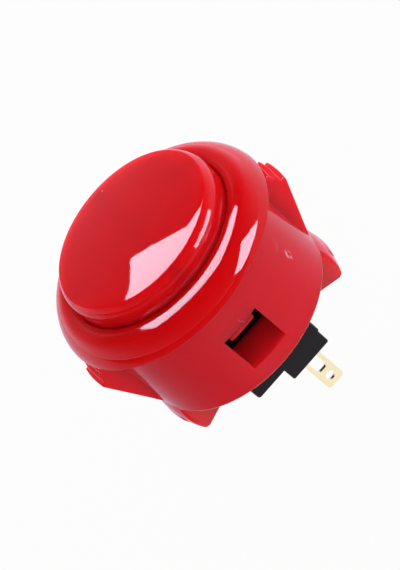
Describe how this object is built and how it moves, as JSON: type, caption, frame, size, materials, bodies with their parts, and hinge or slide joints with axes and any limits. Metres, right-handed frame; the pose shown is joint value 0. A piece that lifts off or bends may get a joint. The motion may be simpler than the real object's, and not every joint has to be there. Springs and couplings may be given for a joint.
{
  "type": "arcade push button",
  "caption": "Round snap-in panel push button: rimmed barrel with stepped snap wings, sprung domed plunger, black leaf switch underneath with blade terminals.",
  "frame": {"origin": "on the button's axis, in the plane of the panel's face where the rim's underside rests", "axes": "+Z out of the panel through the plunger, +X through a snap wing, -Y through the window that the picture shows"},
  "size_m": [0.0354, 0.0334, 0.037],
  "materials": {
    "housing_red": "satin moulded plastic, glossier on the rim",
    "plunger_red": "gloss moulded plastic",
    "case_black": "fine matt moulded plastic",
    "actuator_black": "smooth moulded plastic",
    "spring_steel": "drawn wire",
    "blade_gold": "pale gold plating",
    "leaf_bronze": "rolled spring strip",
    "contact_silver": "bright contact metal"
  },
  "bodies": {
    "housing": {"housing": "housing_red", "switch_cover": "case_black", "switch_base": "case_black", "terminal_common": "blade_gold", "terminal_open": "blade_gold", "fixed_contact": "contact_silver", "return_spring": "spring_steel"},
    "plunger": {"plunger": "plunger_red"},
    "actuator": {"switch_actuator": "actuator_black"},
    "contact_leaf": {"contact_leaf": "leaf_bronze", "moving_contact": "contact_silver"}
  },
  "joints": [
    {"name": "plunger_travel", "type": "slide", "parent": "housing", "child": "plunger", "axis": [0, 0, -1], "range_m": [0, 0.003], "stiffness_N_per_m": 150, "springref_m": -0.004},
    {"name": "actuator_travel", "type": "slide", "parent": "housing", "child": "actuator", "axis": [0, 0, -1], "range_m": [0, 0.003], "deforming": ["return_spring"]},
    {"name": "leaf_close", "type": "hinge", "parent": "housing", "child": "contact_leaf", "pos_m": [0.0015, -0.0056, -0.0177], "axis": [-1, 0, 0], "range_deg": [0, 4.4]}
  ],
  "couplings": [
    {"joint": "actuator_travel", "follows": "plunger_travel", "ratio": 1},
    {"joint": "leaf_close", "follows": "plunger_travel", "rad_per_m": 25.533}
  ]
}
